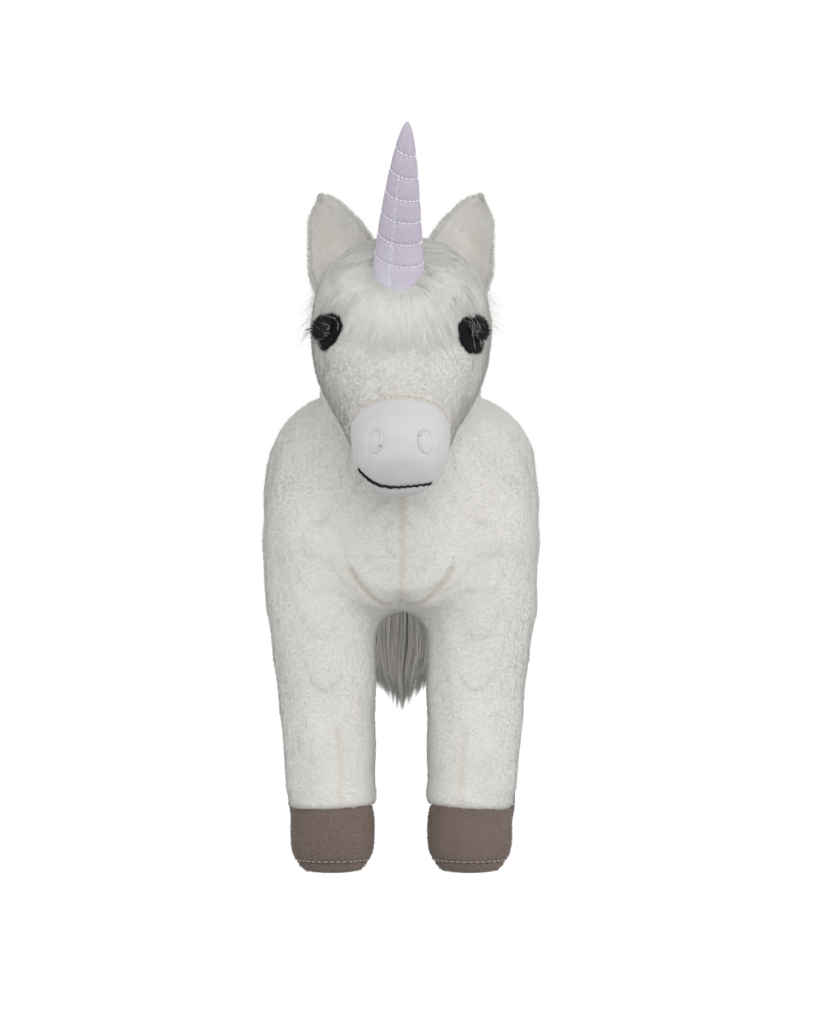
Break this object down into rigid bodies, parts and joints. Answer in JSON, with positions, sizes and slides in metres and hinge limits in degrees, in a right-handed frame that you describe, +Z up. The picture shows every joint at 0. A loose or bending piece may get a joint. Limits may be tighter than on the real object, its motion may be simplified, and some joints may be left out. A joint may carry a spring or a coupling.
{
  "type": "plush unicorn",
  "caption": "Standing white plush unicorn with a quilted satin horn, cupped ears, stitched hooves and a hanging tail; ears fold and the tail lifts.",
  "frame": {"origin": "on the floor under the middle of the toy's box", "axes": "+Z up; the toy faces -Y and its own left side is at +X"},
  "size_m": [0.166, 0.4517, 0.4385],
  "materials": {
    "white_plush": "short soft pile",
    "long_pile": "long soft pile",
    "ear_lining_cloth": "short pile",
    "muzzle_velour": "smooth velour",
    "white_embroidery": "satin thread",
    "black_embroidery": "satin thread",
    "black_eye": "polished",
    "black_pile": "short pile",
    "washer_plastic": "matte",
    "horn_satin": "pearly satin",
    "quilting_thread": "matte thread",
    "hoof_nap": "brushed nap",
    "sole_cloth": "brushed nap",
    "hoof_thread": "matte thread",
    "board": "matte",
    "polyester_filling": "loose fibre"
  },
  "bodies": {
    "root": {"torso_cover_left": "white_plush", "torso_cover_right": "white_plush", "chest_panel_left": "white_plush", "chest_panel_right": "white_plush", "belly_gusset": "white_plush", "torso_filling": "polyester_filling", "neck_cover_left": "white_plush", "neck_cover_right": "white_plush", "neck_filling": "polyester_filling", "mane": "long_pile", "head_cover_left": "white_plush", "head_cover_right": "white_plush", "forehead_gusset": "white_plush", "head_filling": "polyester_filling", "forelock": "long_pile", "muzzle_cover": "muzzle_velour", "chin_panel": "muzzle_velour", "mouth_embroidery": "black_embroidery", "nostril_embroidery_left": "white_embroidery", "nostril_embroidery_right": "white_embroidery", "eye_left": "black_eye", "eye_right": "black_eye", "eye_patch_left": "black_pile", "eye_patch_right": "black_pile", "eye_washer_left": "washer_plastic", "eye_washer_right": "washer_plastic", "horn_cover": "horn_satin", "horn_filling": "polyester_filling", "horn_stitching": "quilting_thread", "front_leg_cover_left": "white_plush", "front_leg_cover_right": "white_plush", "hind_leg_cover_left": "white_plush", "hind_leg_cover_right": "white_plush", "front_leg_filling_left": "polyester_filling", "front_leg_filling_right": "polyester_filling", "hind_leg_filling_left": "polyester_filling", "hind_leg_filling_right": "polyester_filling", "front_hoof_left": "hoof_nap", "front_hoof_right": "hoof_nap", "hind_hoof_left": "hoof_nap", "hind_hoof_right": "hoof_nap", "front_sole_left": "sole_cloth", "front_sole_right": "sole_cloth", "hind_sole_left": "sole_cloth", "hind_sole_right": "sole_cloth", "front_sole_board_left": "board", "front_sole_board_right": "board", "hind_sole_board_left": "board", "hind_sole_board_right": "board", "hoof_stitching": "hoof_thread"},
    "ear_left": {"ear_back_left": "white_plush", "ear_lining_left": "ear_lining_cloth"},
    "ear_right": {"ear_back_right": "white_plush", "ear_lining_right": "ear_lining_cloth"},
    "tail": {"tail_root": "white_plush", "tail_hair": "long_pile"}
  },
  "joints": [
    {"name": "ear_left_fold", "type": "hinge", "parent": "root", "child": "ear_left", "pos_m": [0.04093, -0.11222, 0.37193], "axis": [-0.7071, 0, 0.7071], "range_deg": [-20, 35], "stiffness_Nm_per_rad": 0.05},
    {"name": "ear_right_fold", "type": "hinge", "parent": "root", "child": "ear_right", "pos_m": [-0.04093, -0.11222, 0.37193], "axis": [-0.7071, 0, -0.7071], "range_deg": [-20, 35], "stiffness_Nm_per_rad": 0.05},
    {"name": "tail_lift", "type": "hinge", "parent": "root", "child": "tail", "pos_m": [0, 0.18897, 0.24778], "axis": [1, 0, 0], "range_deg": [0, 110]}
  ]
}
